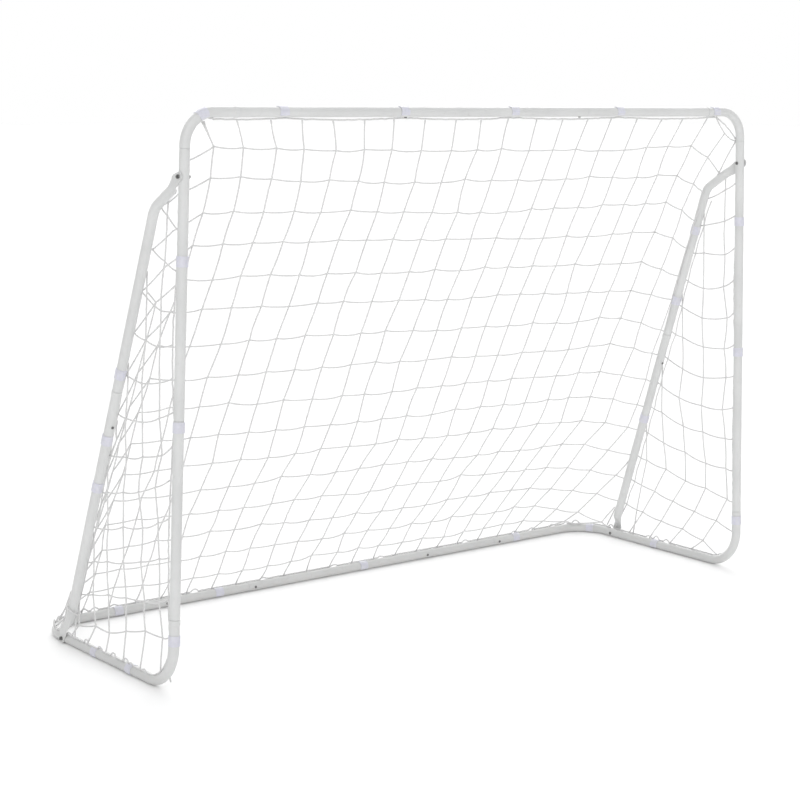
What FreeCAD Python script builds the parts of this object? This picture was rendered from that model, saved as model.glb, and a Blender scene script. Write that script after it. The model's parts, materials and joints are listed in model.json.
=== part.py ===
import FreeCAD, Part

"""Backyard soccer goal: a bolted steel tube frame with its net and net clips.

The origin is on the ground under the middle of the goal. +X runs along the crossbar to the
right-hand post as seen from the field, +Y runs from the mouth to the back bar, and +Z is up.
Each side frame (post, base side, brace) is planar and leans in at the top. Places in it are
given as `back` (from the mouth plane) and `up` (along the post, from the base centreline).
"""

import math
import os

import Sketcher

Vector = FreeCAD.Vector

DIMENSIONS = {
    # Tube section, and how one tube's reduced end fits into the next
    "tube_od": 28.0,
    "tube_wall": 1.0,
    "socket_gap": 0.2,
    "swage": 1.2,
    "spigot": 45.0,
    "brace_spigot": 130.0,
    "bead": 0.8,
    "bead_length": 14.0,
    # Centreline sizes of the whole frame
    "bar_height": 1506.0,
    "bar_span": 2060.0,
    "base_span": 2152.0,
    "base_depth": 732.0,
    "top_bend": 85.0,
    "bottom_bend": 115.0,
    "rear_bend": 120.0,
    # Tube joints: from the middle of a bar, or up or back in the side frame
    "bar_middle_joint": 350.0,
    "bar_corner_joint": 874.0,
    "back_middle_joint": 368.0,
    "back_corner_joint": 641.0,
    "post_top_joint": 1400.0,
    "post_middle_joint": 705.0,
    "post_bottom_joint": 185.0,
    "side_joint": 270.0,
    # Brace: its bolts, its bend and its joint, which is measured down from the bend
    "brace_top_up": 1330.0,
    "brace_knee_back": 142.0,
    "brace_knee_up": 1243.0,
    "brace_foot_back": 580.0,
    "brace_bend": 60.0,
    "brace_joint": 531.0,
    "brace_screw_offset": 105.0,
    # Flattened brace ends
    "tab_thickness": 2.4,
    "tab_width": 34.0,
    "tab_nose": 13.0,
    "tab_shoulder": 18.0,
    "tab_length": 30.0,
    "tab_taper": 36.0,
    "ellipse_margin": 0.0001,
    # Fasteners
    "bolt_diameter": 6.0,
    "bolt_head": 10.5,
    "bolt_head_height": 3.3,
    "bolt_hole": 7.0,
    "nut_width": 10.0,
    "nut_height": 5.0,
    "nut_hole": 6.1,
    "thread_end": 2.0,
    "screw_diameter": 4.2,
    "screw_head": 8.0,
    "screw_head_height": 2.6,
    "screw_length": 12.0,
    "screw_hole": 4.6,
    "screw_offset": 23.0,
    "crown_share": 0.34,
    "driver_slot": 1.2,
    "slot_floor_share": 0.45,
    # Net clips
    "clip_length": 28.0,
    "clip_wall": 1.8,
    "clip_gap": 0.1,
    "clip_wrap": 250.0,
    "top_clip_turn": 24.0,
    "rear_clip_turn": 57.0,
    # Net panels
    "net_thickness": 2.5,
    "net_inset": 20.0,
    "net_top_inset": 40.0,
    "net_low_inset": 25.0,
    "net_side_offset": 20.5,
}

# Where the net clips sit, in millimetres from the middle of a bar, up a post, back along a base
# side, or down a brace from its bend. They are put on by hand, so they are unevenly spaced.
CROSSBAR_CLIPS = (-736, -336, 65, 488, 910)
BACK_BAR_CLIPS = (-829, -476, 81, 744)
POST_CLIPS = {"left": (1115, 689, 130), "right": (1142, 717, 156)}
BASE_SIDE_CLIPS = {"left": (213, 405), "right": (368,)}
BRACE_CLIPS = {"left": (480, 680, 826), "right": (148, 405, 855)}

doc = FreeCAD.newDocument("soccer_goal")
sheet = doc.addObject("Spreadsheet::Sheet", "dims")
for row, (alias, number) in enumerate(DIMENSIONS.items(), start=1):
    sheet.set(f"A{row}", alias)
    sheet.set(f"B{row}", str(number))
    sheet.setAlias(f"B{row}", alias)
doc.recompute()

pockets = []
parts = {}


def value(expression):
    """The number that an expression on the sheet gives."""
    result = sheet.evalExpression(expression)
    return getattr(result, "Value", result)


def keep(node, feature, placement=None):
    """Name a finished object after its node and put it in place."""
    feature.Label = node
    if placement is not None:
        feature.Placement = placement
    parts[node] = feature
    return feature


# ---------------------------------------------------------------- sketches


def new_sketch(body, name, role, offset=None):
    """A sketch on one of the body's own origin planes."""
    sketch = body.newObject("Sketcher::SketchObject", name)
    plane = next(f for f in body.Origin.OriginFeatures if f.Role == role)
    sketch.AttachmentSupport = [(plane, "")]
    sketch.MapMode = "FlatFace"
    if offset is not None:
        sketch.AttachmentOffset = offset
    return sketch


def bind(sketch, name, expression, kind, *arguments):
    """A dimension whose value is an expression on the sheet."""
    number = value(expression)
    if kind == "Angle":
        number = math.radians(number)
    index = sketch.addConstraint(Sketcher.Constraint(kind, *arguments, number))
    sketch.renameConstraint(index, name)
    sketch.setExpression(f"Constraints.{name}", expression)


def outline(sketch, corners):
    """A closed polygon with every corner bound to a pair of expressions."""
    places = [Vector(value(x), value(y), 0) for x, y in corners]
    count = len(places)
    for i, place in enumerate(places):
        sketch.addGeometry(Part.LineSegment(place, places[(i + 1) % count]))
    for i in range(count):
        sketch.addConstraint(Sketcher.Constraint("Coincident", i, 2, (i + 1) % count, 1))
    for i, (x, y) in enumerate(corners):
        bind(sketch, f"x{i}", x, "DistanceX", -1, 1, i, 1)
        bind(sketch, f"y{i}", y, "DistanceY", -1, 1, i, 1)


def circle(sketch, name, radius, along=None):
    """A circle about the sketch's origin, or some way along its X axis."""
    centre = Vector(value(along) if along else 0, 0, 0)
    index = sketch.addGeometry(Part.Circle(centre, Vector(0, 0, 1), value(radius)))
    bind(sketch, f"{name}_radius", radius, "Radius", index)
    if along:
        bind(sketch, f"{name}_along", along, "DistanceX", -1, 1, index, 3)
        sketch.addConstraint(Sketcher.Constraint("PointOnObject", index, 3, -1))
    else:
        sketch.addConstraint(Sketcher.Constraint("Coincident", index, 3, -1, 1))


def bent_line(sketch, first, bend, turn, second, hand):
    """A run along +X, an arc that turns towards -Y (hand 1) or +Y (hand -1), and a second run."""
    start, radius, angle, rest = value(first), value(bend), math.radians(value(turn)), value(second)
    centre = Vector(start, -hand * radius, 0)
    low, high = (math.pi / 2 - angle, math.pi / 2) if hand > 0 else (-math.pi / 2, angle - math.pi / 2)
    leaving = Vector(math.cos(angle), -hand * math.sin(angle), 0)
    bend_end = centre + Vector(radius * math.sin(angle), hand * radius * math.cos(angle), 0)
    near, far = (2, 1) if hand > 0 else (1, 2)
    sketch.addGeometry(Part.LineSegment(Vector(), Vector(start, 0, 0)))
    sketch.addGeometry(Part.ArcOfCircle(Part.Circle(centre, Vector(0, 0, 1), radius), low, high))
    sketch.addGeometry(Part.LineSegment(bend_end, bend_end + leaving * rest))
    sketch.addConstraint(Sketcher.Constraint("Coincident", 0, 1, -1, 1))
    sketch.addConstraint(Sketcher.Constraint("Horizontal", 0))
    sketch.addConstraint(Sketcher.Constraint("Tangent", 0, 2, 1, near))
    sketch.addConstraint(Sketcher.Constraint("Tangent", 1, far, 2, 1))
    bind(sketch, "first", first, "Distance", 0)
    bind(sketch, "bend", bend, "Radius", 1)
    bind(sketch, "turn", turn, "Angle", 1)
    bind(sketch, "second", second, "Distance", 2)
    return FreeCAD.Placement(
        bend_end + leaving * rest, FreeCAD.Rotation(Vector(0, 0, 1), math.degrees(-hand * angle))
    )


# ---------------------------------------------------------------- tubes

TUBE_R = "dims.tube_od / 2"
BORE_R = "(dims.tube_od / 2 - dims.tube_wall)"
SPIGOT_R = f"({BORE_R} - dims.socket_gap)"
SPIGOT_BORE_R = f"({SPIGOT_R} - dims.tube_wall)"
START = FreeCAD.Placement(Vector(), FreeCAD.Rotation(Vector(0, 0, 1), 180))


def revolve(body, name, offset, corners):
    """Add a ring to a tube's end: X is outward along the tube and Y is the radius."""
    sketch = new_sketch(body, f"{name}_outline", "XY_Plane", offset)
    outline(sketch, corners)
    ring = body.newObject("PartDesign::Revolution", name)
    ring.Profile = sketch
    ring.ReferenceAxis = (sketch, ["H_Axis"])
    ring.Angle = 360


def add_spigot(body, name, offset, length="dims.spigot"):
    """A reduced end that slides into the next tube."""
    revolve(body, name, offset, [
        ("-dims.swage", BORE_R),
        ("-dims.swage", TUBE_R),
        ("0", TUBE_R),
        ("dims.swage", SPIGOT_R),
        (f"{length} - dims.tube_wall", SPIGOT_R),
        (length, f"{SPIGOT_R} - dims.tube_wall / 2"),
        (length, SPIGOT_BORE_R),
        ("dims.swage", SPIGOT_BORE_R),
    ])


def add_bead(body, name, offset):
    """A raised ring round a socket's rim."""
    revolve(body, name, offset, [
        ("-dims.bead_length", f"{TUBE_R} - dims.tube_wall / 2"),
        ("-dims.bead_length", TUBE_R),
        ("-dims.bead_length + 2 * dims.bead", f"{TUBE_R} + dims.bead"),
        ("-dims.bead", f"{TUBE_R} + dims.bead"),
        ("0", TUBE_R),
        ("0", f"{TUBE_R} - dims.tube_wall / 2"),
    ])


ENDS = {"spigot": add_spigot, "beaded socket": add_bead, "socket": None}


def drill(body, name, role, along, diameter, depth=None, reverse=False):
    """A round hole across a tube: right through it, or from the middle out through one side."""
    sketch = new_sketch(body, f"{name}_circle", role)
    circle(sketch, name, f"{diameter} / 2", along)
    pocket = body.newObject("PartDesign::Pocket", name)
    pocket.Profile = sketch
    if depth:
        pocket.setExpression("Length", depth)
        pocket.Reversed = reverse
    else:
        pocket.Type = "ThroughAll"
        pocket.SideType = "Symmetric"
    pockets.append(pocket)


def tube_profile(body):
    """The tube's section, square to its start."""
    sketch = new_sketch(body, "section", "YZ_Plane")
    circle(sketch, "outer", TUBE_R)
    circle(sketch, "bore", BORE_R)
    return sketch


def straight_tube(name, length, start="socket", end="spigot"):
    """A tube along its own +X, from a start end at the origin."""
    body = doc.addObject("PartDesign::Body", name)
    pad = body.newObject("PartDesign::Pad", "tube")
    pad.Profile = tube_profile(body)
    pad.setExpression("Length", length)
    finish_ends(body, start, end, FreeCAD.Placement(Vector(value(length), 0, 0), FreeCAD.Rotation()))
    return body


def bent_tube(name, first, bend, turn, second, start="socket", end="spigot", hand=1):
    """A tube with one bend, which starts along its own +X."""
    body = doc.addObject("PartDesign::Body", name)
    spine = new_sketch(body, "spine", "XY_Plane")
    tip = bent_line(spine, first, bend, turn, second, hand)
    pipe = body.newObject("PartDesign::AdditivePipe", "tube")
    pipe.Profile = tube_profile(body)
    pipe.Spine = (spine, ["Edge1", "Edge2", "Edge3"])
    finish_ends(body, start, end, tip)
    return body


def finish_ends(body, start, end, tip):
    """Add what each end of a tube carries."""
    for name, kind, offset in (("start", start, START), ("end", end, tip)):
        if ENDS[kind]:
            ENDS[kind](body, name, offset)


# ---------------------------------------------------------------- places in the frame

MOUTH_Y = -value("dims.base_depth") / 2
BASE_Z = value("dims.tube_od") / 2
BAR_Z = value("dims.bar_height")
BAR_HALF = value("dims.bar_span") / 2
BASE_HALF = value("dims.base_span") / 2
LEAN_TEXT = "atan((dims.base_span - dims.bar_span) / 2 / (dims.bar_height - dims.tube_od / 2))"
LEAN = math.radians(value(LEAN_TEXT))
POST_TEXT = f"(dims.bar_height - dims.tube_od / 2) / cos({LEAN_TEXT})"
BACK = Vector(0, 1, 0)
UP = Vector(0, 0, 1)
SIDES = {"left": -1, "right": 1}


def along_x(side):
    return Vector(side, 0, 0)


def up_post(side):
    return Vector(-side * math.sin(LEAN), 0, math.cos(LEAN))


def outward(side):
    """Square to the side frame, away from the goal."""
    return Vector(side * math.cos(LEAN), 0, math.sin(LEAN))


def in_side(side, back, up, out=0.0):
    """A point of a side frame."""
    corner = Vector(side * BASE_HALF, MOUTH_Y, BASE_Z)
    return corner + BACK * back + up_post(side) * up + outward(side) * out


def pose(origin, x_axis, z_axis):
    """A placement from its own X and Z directions."""
    return FreeCAD.Placement(origin, FreeCAD.Rotation(x_axis, z_axis.cross(x_axis), z_axis, "XZY"))


# ---------------------------------------------------------------- crossbar and posts


def build_crossbar():
    middle = straight_tube("crossbar_middle_tube", "2 * dims.bar_middle_joint", "socket", "socket")
    for name, along in (
        ("left_screw", "dims.screw_offset"),
        ("right_screw", "2 * dims.bar_middle_joint - dims.screw_offset"),
    ):
        drill(middle, name, "XY_Plane", along, "dims.screw_hole", TUBE_R)
    start = Vector(-value("dims.bar_middle_joint"), MOUTH_Y, BAR_Z)
    keep("crossbar_middle", middle, pose(start, along_x(1), UP))
    for word, side in SIDES.items():
        tube = straight_tube(
            f"crossbar_{word}_tube",
            "dims.bar_corner_joint - dims.bar_middle_joint - 2 * dims.swage", "spigot", "spigot",
        )
        drill(tube, "screw", "XY_Plane", "-dims.screw_offset - dims.swage", "dims.screw_hole", TUBE_R)
        start = Vector(side * value("dims.bar_middle_joint + dims.swage"), MOUTH_Y, BAR_Z)
        keep(f"crossbar_{word}", tube, pose(start, along_x(side), UP))
        tangent = f"dims.top_bend * tan((90 deg - {LEAN_TEXT}) / 2)"
        corner = bent_tube(
            f"crossbar_corner_{word}_tube",
            f"dims.bar_span / 2 - {tangent} - dims.bar_corner_joint",
            "dims.top_bend",
            f"90 deg - {LEAN_TEXT}",
            f"{POST_TEXT} - {tangent} - dims.post_top_joint - dims.swage",
            start="beaded socket",
        )
        start = Vector(side * value("dims.bar_corner_joint"), MOUTH_Y, BAR_Z)
        keep(f"crossbar_corner_{word}", corner, pose(start, along_x(side), along_x(side).cross(UP)))


def build_posts():
    for word, side in SIDES.items():
        upper = straight_tube(
            f"post_upper_{word}_tube", "dims.post_top_joint - dims.post_middle_joint - dims.swage"
        )
        drill(upper, "brace_bolt", "XY_Plane", "dims.post_top_joint - dims.brace_top_up", "dims.bolt_hole")
        top = in_side(side, 0, value("dims.post_top_joint"))
        keep(f"post_upper_{word}", upper, pose(top, -up_post(side), outward(side)))
        lower = straight_tube(
            f"post_lower_{word}_tube", "dims.post_middle_joint - dims.post_bottom_joint - dims.swage"
        )
        top = in_side(side, 0, value("dims.post_middle_joint"))
        keep(f"post_lower_{word}", lower, pose(top, -up_post(side), outward(side)))


# ---------------------------------------------------------------- base


def build_base():
    for word, side in SIDES.items():
        front = bent_tube(
            f"bottom_corner_{word}_tube",
            "dims.post_bottom_joint - dims.bottom_bend",
            "dims.bottom_bend",
            "90 deg",
            "dims.side_joint - dims.bottom_bend",
            start="beaded socket",
            end="socket",
            hand=-side,
        )
        top = in_side(side, 0, value("dims.post_bottom_joint"))
        keep(f"bottom_corner_{word}", front, pose(top, -up_post(side), outward(side)))
        rear = bent_tube(
            f"rear_corner_{word}_tube",
            "dims.base_span / 2 - dims.rear_bend - dims.back_corner_joint",
            "dims.rear_bend",
            "90 deg",
            "dims.base_depth - dims.rear_bend - dims.side_joint - dims.swage",
            hand=side,
        )
        drill(rear, "screw", "XZ_Plane", "dims.screw_offset", "dims.screw_hole", TUBE_R, side > 0)
        foot = "(dims.base_depth - dims.brace_foot_back)"
        drill(rear, "brace_bolt", "YZ_Plane", f"-{foot}" if side > 0 else foot, "dims.bolt_hole")
        start = Vector(side * value("dims.back_corner_joint"), -MOUTH_Y, BASE_Z)
        keep(f"rear_corner_{word}", rear, pose(start, along_x(side), UP))


def build_back_bar():
    middle = straight_tube("back_bar_middle_tube", "2 * dims.back_middle_joint", "socket", "socket")
    for name, along in (
        ("left_screw", "dims.screw_offset"),
        ("right_screw", "2 * dims.back_middle_joint - dims.screw_offset"),
    ):
        drill(middle, name, "XZ_Plane", along, "dims.screw_hole", TUBE_R, reverse=True)
    start = Vector(-value("dims.back_middle_joint"), -MOUTH_Y, BASE_Z)
    keep("back_bar_middle", middle, pose(start, along_x(1), UP))
    for word, side in SIDES.items():
        length = "dims.back_corner_joint - dims.back_middle_joint - 2 * dims.swage"
        tube = straight_tube(f"back_bar_{word}_tube", length, "spigot", "spigot")
        inner = "-dims.screw_offset - dims.swage"
        outer = f"{length} + dims.swage + dims.screw_offset"
        drill(tube, "inner_screw", "XZ_Plane", inner, "dims.screw_hole", TUBE_R, side > 0)
        drill(tube, "outer_screw", "XZ_Plane", outer, "dims.screw_hole", TUBE_R, side > 0)
        start = Vector(side * value("dims.back_middle_joint + dims.swage"), -MOUTH_Y, BASE_Z)
        keep(f"back_bar_{word}", tube, pose(start, along_x(side), UP))


# ---------------------------------------------------------------- braces

UPPER_RISE = "(dims.brace_top_up - dims.brace_knee_up)"
LOWER_RUN = "(dims.brace_foot_back - dims.brace_knee_back)"
UPPER_SLOPE = f"atan({UPPER_RISE} / dims.brace_knee_back)"
LOWER_SLOPE = f"atan(dims.brace_knee_up / {LOWER_RUN})"
KNEE_TURN = f"({LOWER_SLOPE} - {UPPER_SLOPE})"
KNEE_TANGENT = f"dims.brace_bend * tan({KNEE_TURN} / 2)"
UPPER_LENGTH = f"sqrt({UPPER_RISE} ^ 2 + dims.brace_knee_back ^ 2)"
LOWER_LENGTH = f"sqrt(dims.brace_knee_up ^ 2 + {LOWER_RUN} ^ 2)"
TAB_START = "(dims.tab_length + dims.tab_taper)"
TAB_OUT = "(dims.tube_od / 2 + dims.tab_thickness / 2)"


def flattened_end(name):
    """A tube end pressed flat against the outside of another tube.

    Its X points from the bolt hole back along the brace, and Z points out of the side frame.
    """
    lofts = []
    for layer, round_r, wide_r, thin_r in (
        ("skin", TUBE_R, "dims.tab_width / 2", "dims.tab_thickness / 2"),
        ("core", BORE_R, "(dims.tab_width / 2 - dims.tube_wall)", "dims.tab_thickness / 8"),
    ):
        ring = doc.addObject("Part::Ellipse", f"{name}_{layer}_round")
        flat = doc.addObject("Part::Ellipse", f"{name}_{layer}_flat")
        for ellipse, major, minor, along, out in (
            (ring, f"{round_r} + dims.ellipse_margin", round_r, TAB_START, "0"),
            (flat, wide_r, thin_r, "dims.tab_length", TAB_OUT),
        ):
            ellipse.setExpression("MajorRadius", major)
            ellipse.setExpression("MinorRadius", minor)
            place = Vector(value(along), 0, value(out))
            ellipse.Placement = FreeCAD.Placement(
                place, FreeCAD.Rotation(Vector(0, 1, 0), Vector(0, 0, 1), Vector(1, 0, 0), "XYZ")
            )
        loft = doc.addObject("Part::Loft", f"{name}_{layer}")
        loft.Sections = [ring, flat]
        loft.Solid = True
        loft.Ruled = True
        lofts.append(loft)
    taper = doc.addObject("Part::Cut", f"{name}_taper")
    taper.Base, taper.Tool = lofts
    tab = doc.addObject("PartDesign::Body", f"{name}_tab")
    lift = FreeCAD.Placement(Vector(0, 0, value(TUBE_R)), FreeCAD.Rotation())
    for feature, shape in (("nose", None), ("plate", [
        ("0", "-dims.tab_nose"),
        ("dims.tab_shoulder", "-dims.tab_width / 2"),
        ("dims.tab_length", "-dims.tab_width / 2"),
        ("dims.tab_length", "dims.tab_width / 2"),
        ("dims.tab_shoulder", "dims.tab_width / 2"),
        ("0", "dims.tab_nose"),
    ])):
        sketch = new_sketch(tab, f"{feature}_outline", "XY_Plane", lift)
        if shape:
            outline(sketch, shape)
        else:
            circle(sketch, "nose", "dims.tab_nose")
        pad = tab.newObject("PartDesign::Pad", feature)
        pad.Profile = sketch
        pad.setExpression("Length", "dims.tab_thickness")
    hole_sketch = new_sketch(tab, "hole_circle", "XY_Plane")
    circle(hole_sketch, "hole", "dims.bolt_hole / 2")
    hole = tab.newObject("PartDesign::Pocket", "hole")
    hole.Profile = hole_sketch
    hole.Type = "ThroughAll"
    hole.SideType = "Symmetric"
    pockets.append(hole)
    return [taper, tab]


def join(name, pieces):
    """Fuse the lengths of one brace tube."""
    fused = doc.addObject("Part::MultiFuse", name)
    fused.Shapes = pieces
    fused.Refine = True
    return fused


def build_braces():
    slope = math.radians(value(UPPER_SLOPE))
    steep = math.radians(value(LOWER_SLOPE))
    for word, side in SIDES.items():
        upper = bent_tube(
            f"brace_upper_{word}_tube",
            f"{UPPER_LENGTH} - {KNEE_TANGENT} - {TAB_START}",
            "dims.brace_bend",
            KNEE_TURN,
            f"dims.brace_joint - {KNEE_TANGENT}",
            end="socket",
            hand=side,
        )
        upper.Placement = FreeCAD.Placement(Vector(value(TAB_START), 0, 0), FreeCAD.Rotation())
        tip_turn = FreeCAD.Rotation(UP, -side * value(KNEE_TURN))
        knee = Vector(value(UPPER_LENGTH), 0, 0)
        tip = FreeCAD.Placement(knee + tip_turn.multVec(Vector(value("dims.brace_joint"), 0, 0)), tip_turn)
        end = doc.addObject("PartDesign::Body", f"brace_upper_{word}_end")
        add_spigot(end, "end", FreeCAD.Placement(), "dims.brace_spigot")
        drill(
            end, "screw", "XZ_Plane", "dims.swage + dims.brace_screw_offset", "dims.screw_hole", TUBE_R,
            side > 0,
        )
        end.Placement = tip
        brace = join(f"brace_upper_{word}_fuse", [upper, end] + flattened_end(f"brace_top_{word}"))
        down = BACK * math.cos(slope) - up_post(side) * math.sin(slope)
        top = in_side(side, 0, value("dims.brace_top_up"))
        keep(f"brace_upper_{word}", brace, pose(top, down, outward(side)))

        lower = straight_tube(
            f"brace_lower_{word}_tube",
            f"{LOWER_LENGTH} - dims.brace_joint - dims.swage - {TAB_START}", "socket", "beaded socket",
        )
        drill(
            lower, "screw", "XZ_Plane",
            f"{LOWER_LENGTH} - dims.brace_joint - dims.swage - {TAB_START} - dims.brace_screw_offset",
            "dims.screw_hole", TUBE_R, side < 0,
        )
        lower.Placement = FreeCAD.Placement(Vector(value(TAB_START), 0, 0), FreeCAD.Rotation())
        brace = join(f"brace_lower_{word}_fuse", [lower] + flattened_end(f"brace_foot_{word}"))
        rising = up_post(side) * math.sin(steep) - BACK * math.cos(steep)
        foot = in_side(side, value("dims.brace_foot_back"), 0)
        keep(f"brace_lower_{word}", brace, pose(foot, rising, outward(side)))


# ---------------------------------------------------------------- fasteners


def primitive(kind, name, **expressions):
    """A Part primitive with its sizes bound to the sheet."""
    shape = doc.addObject(kind, name)
    for key, expression in expressions.items():
        shape.setExpression(key, expression)
    return shape


def shift(feature, height):
    """Move a primitive along its own axis, by an expression on the sheet."""
    feature.setExpression("Placement.Base.z", height)
    return feature


def pan_head(name, prefix, length):
    """A pan-head screw or bolt with a cross slot. It points down -Z from under its head."""
    shank = shift(primitive(
        "Part::Cylinder", f"{name}_shank", Radius=f"dims.{prefix}_diameter / 2", Height=length,
    ), f"-({length})")
    rim = primitive(
        "Part::Cylinder", f"{name}_rim",
        Radius=f"dims.{prefix}_head / 2", Height=f"dims.{prefix}_head_height / 2",
    )
    crown = shift(primitive(
        "Part::Cone", f"{name}_crown", Radius1=f"dims.{prefix}_head / 2",
        Radius2=f"dims.{prefix}_head * dims.crown_share", Height=f"dims.{prefix}_head_height / 2",
    ), f"dims.{prefix}_head_height / 2")
    solid = join(f"{name}_solid", [shank, rim, crown])
    reach, thin = f"dims.{prefix}_head / 2", "dims.driver_slot"
    slots = []
    for word, long_x, long_y in (("across", reach, thin), ("along", thin, reach)):
        slot = primitive(
            "Part::Box", f"{name}_slot_{word}",
            Length=long_x, Width=long_y, Height=f"dims.{prefix}_head_height",
        )
        slot.setExpression("Placement.Base.x", f"-{long_x} / 2")
        slot.setExpression("Placement.Base.y", f"-{long_y} / 2")
        slots.append(shift(slot, f"dims.{prefix}_head_height * dims.slot_floor_share"))
    cut = doc.addObject("Part::Cut", name)
    cut.Base = solid
    cut.Tool = join(f"{name}_slots", slots)
    return cut


def hex_nut(name):
    """A plain hexagon nut that stands on Z = 0."""
    prism = primitive(
        "Part::Prism", f"{name}_prism",
        Circumradius="dims.nut_width / 2 / cos(30 deg)", Height="dims.nut_height",
    )
    prism.Polygon = 6
    hole = primitive("Part::Cylinder", f"{name}_hole", Radius="dims.nut_hole / 2", Height="dims.nut_height")
    cut = doc.addObject("Part::Cut", name)
    cut.Base = prism
    cut.Tool = hole
    return cut


def group(node, placed):
    """One node that holds several equal pieces: a link to the piece at each place."""
    links = []
    for number, (piece, placement) in enumerate(placed, start=1):
        link = doc.addObject("App::Link", f"{node}_{number}")
        link.LinkedObject = piece
        link.LinkPlacement = placement
        links.append(link)
    compound = doc.addObject("Part::Compound", f"{node}_group")
    compound.Links = links
    keep(node, compound)


def facing(place, direction):
    """A placement whose Z is the given direction."""
    return FreeCAD.Placement(place, FreeCAD.Rotation(UP, direction))


def build_fasteners():
    radius = value(TUBE_R)
    screw = pan_head("joint_screw", "screw", "dims.screw_length")
    tab_bolt = pan_head(
        "tab_bolt", "bolt", "dims.tube_od + dims.tab_thickness + dims.nut_height + dims.thread_end"
    )
    nut = hex_nut("nut")

    under = value("dims.bar_middle_joint - dims.screw_offset")
    group("crossbar_screws", [
        (screw, facing(Vector(side * under, MOUTH_Y, BAR_Z - radius), -UP)) for side in (-1, 1)
    ])
    inner = value("dims.back_middle_joint - dims.screw_offset")
    outer = value("dims.back_corner_joint + dims.screw_offset")
    group("back_bar_screws", [
        (screw, facing(Vector(x, -MOUTH_Y - radius, BASE_Z), -BACK)) for x in (-outer, -inner, inner, outer)
    ])

    steep = math.radians(value(LOWER_SLOPE))
    down = value("dims.brace_joint + dims.swage + dims.brace_screw_offset")
    joint_back = value("dims.brace_knee_back") + down * math.cos(steep)
    joint_up = value("dims.brace_knee_up") - down * math.sin(steep)
    top_up = value("dims.brace_top_up")
    foot_back = value("dims.brace_foot_back")
    tab = radius + value("dims.tab_thickness")
    sides = SIDES.values()
    placed = []
    for side in sides:
        front = -BACK * math.sin(steep) - up_post(side) * math.cos(steep)
        placed.append((screw, facing(in_side(side, joint_back, joint_up) + front * radius, front)))
    group("brace_joint_screws", placed)
    for node, back, up in (("brace_top", 0, top_up), ("brace_foot", foot_back, 0)):
        group(f"{node}_bolts", [
            (tab_bolt, facing(in_side(s, back, up, -radius), -outward(s))) for s in sides
        ])
        group(f"{node}_nuts", [
            (nut, facing(in_side(s, back, up, tab), outward(s))) for s in sides
        ])


# ---------------------------------------------------------------- net clips

CLIP_BORE = f"({TUBE_R} + dims.clip_gap)"
CLIP_R = f"({CLIP_BORE} + dims.clip_wall)"


def straight_clip():
    """A C-shaped clip about its own Z, with its opening centred on -X."""
    outer = primitive(
        "Part::Cylinder", "clip_outer", Radius=CLIP_R, Height="dims.clip_length", Angle="dims.clip_wrap"
    )
    bore = primitive("Part::Cylinder", "clip_bore", Radius=CLIP_BORE, Height="dims.clip_length")
    for cylinder in (outer, bore):
        shift(cylinder, "-dims.clip_length / 2")
    outer.Placement = FreeCAD.Placement(
        outer.Placement.Base, FreeCAD.Rotation(UP, -value("dims.clip_wrap") / 2)
    )
    clip = doc.addObject("Part::Cut", "clip")
    clip.Base, clip.Tool = outer, bore
    return clip


def bent_clip(name, bend, opening):
    """The same clip for a bend: its tube runs round its own Z at the bend radius.

    `opening` is the way the clip opens, in degrees from outward towards its own Z.
    """
    body = doc.addObject("PartDesign::Body", name)
    section = new_sketch(body, "section", "XZ_Plane")
    section.setExpression("AttachmentOffset.Base.x", bend)
    section.AttachmentOffset = FreeCAD.Placement(
        Vector(value(bend), 0, 0), FreeCAD.Rotation(UP, opening)
    )
    half = math.radians(value("dims.clip_wrap") / 2)
    lips = (math.pi - half, math.pi + half)
    for radius in (CLIP_R, CLIP_BORE):
        section.addGeometry(Part.ArcOfCircle(Part.Circle(Vector(), UP, value(radius)), *lips))
    for line, end, angle in ((2, 1, lips[0]), (3, 2, lips[1])):
        lip = Vector(math.cos(angle), math.sin(angle), 0)
        section.addGeometry(Part.LineSegment(lip * value(CLIP_R), lip * value(CLIP_BORE)))
        section.addConstraint(Sketcher.Constraint("Coincident", line, 1, 0, end))
        section.addConstraint(Sketcher.Constraint("Coincident", line, 2, 1, end))
        section.addConstraint(Sketcher.Constraint("PointOnObject", 0, 3, line))
    section.addConstraint(Sketcher.Constraint("Coincident", 0, 3, -1, 1))
    section.addConstraint(Sketcher.Constraint("Coincident", 1, 3, -1, 1))
    section.addConstraint(Sketcher.Constraint("Symmetric", 0, 1, 0, 2, -1))
    bind(section, "outer", CLIP_R, "Radius", 0)
    bind(section, "bore", CLIP_BORE, "Radius", 1)
    bind(section, "wrap", "dims.clip_wrap * 1 deg", "Angle", 0)
    turned = body.newObject("PartDesign::Revolution", "clip")
    turned.Profile = section
    turned.ReferenceAxis = (next(f for f in body.Origin.OriginFeatures if f.Role == "Z_Axis"), [""])
    turned.setExpression("Angle", f"dims.clip_length / ({bend}) * 1 rad")
    turned.Midplane = True
    return body


def clip_pose(place, along, opening):
    """A clip round a tube that runs along `along`, open towards `opening`."""
    return FreeCAD.Placement(place, FreeCAD.Rotation(-opening, along.cross(-opening), along, "ZXY"))


def bend_pose(centre, towards_clip, axis):
    """A bent clip: centre of the bend, the direction of the clip from it, and the bend's axis."""
    return FreeCAD.Placement(
        centre, FreeCAD.Rotation(towards_clip, axis.cross(towards_clip), axis, "ZXY")
    )


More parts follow.
